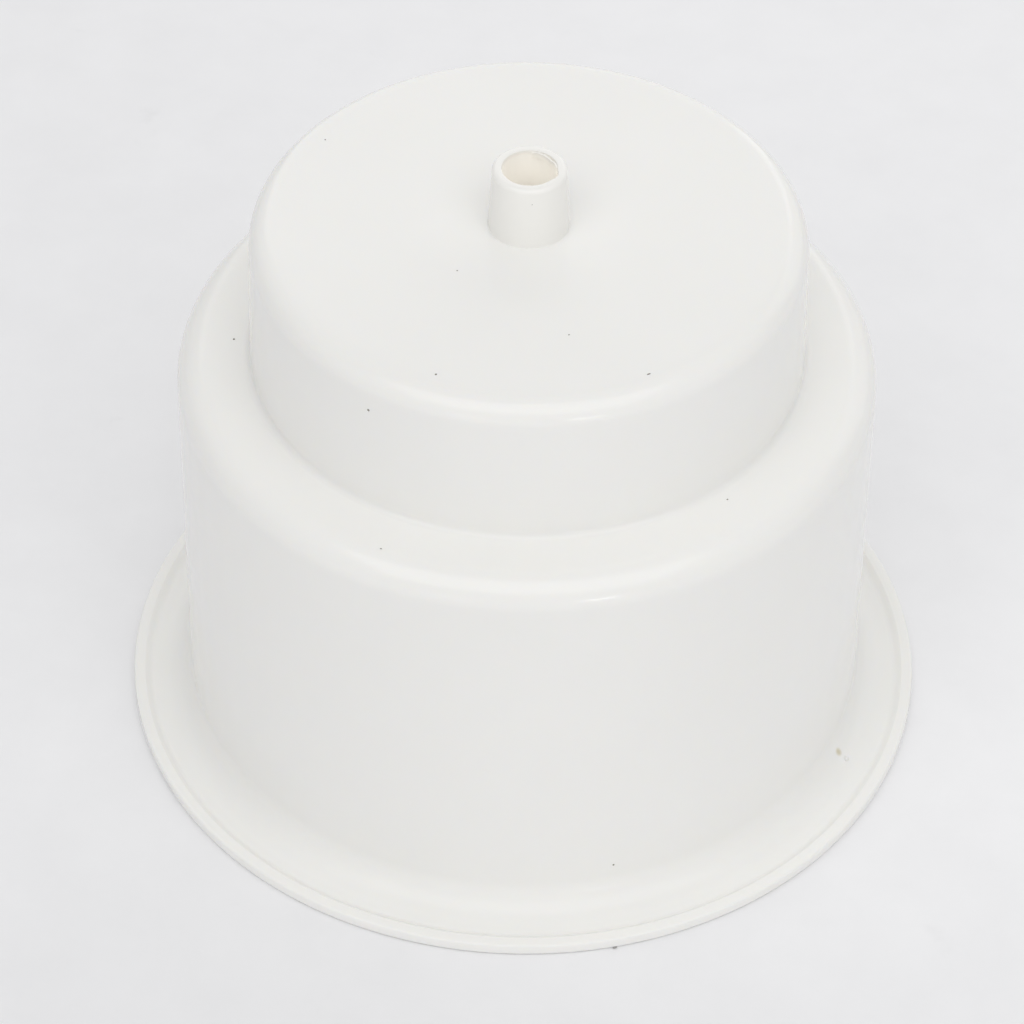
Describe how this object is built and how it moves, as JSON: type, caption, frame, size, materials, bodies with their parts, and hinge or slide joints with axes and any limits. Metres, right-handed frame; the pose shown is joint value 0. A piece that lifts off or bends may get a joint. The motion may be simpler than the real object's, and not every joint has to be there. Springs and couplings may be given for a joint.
{
  "type": "recessed cup holder",
  "caption": "Flanged, stepped plastic cup with a drain spout on its closed end, standing upside down on its flange. It drops into a round cut-out and holds a cup or a can.",
  "frame": {"origin": "centre of the flange's front face, the face that rests on the table when the cup stands upside down", "axes": "+Z along the axis of revolution, from the flange towards the closed end and the drain spout; X and Y are free, because the part is round"},
  "size_m": [0.108, 0.108, 0.087],
  "materials": {
    "shell_plastic": "glossy warm-white injection-moulded plastic with a faint moulded waviness",
    "spout_plastic": "glossy warm-white plastic that lets light through, so its bore looks cream"
  },
  "bodies": {
    "root": {"cup_shell": "shell_plastic", "drain_spout": "spout_plastic"}
  },
  "joints": []
}
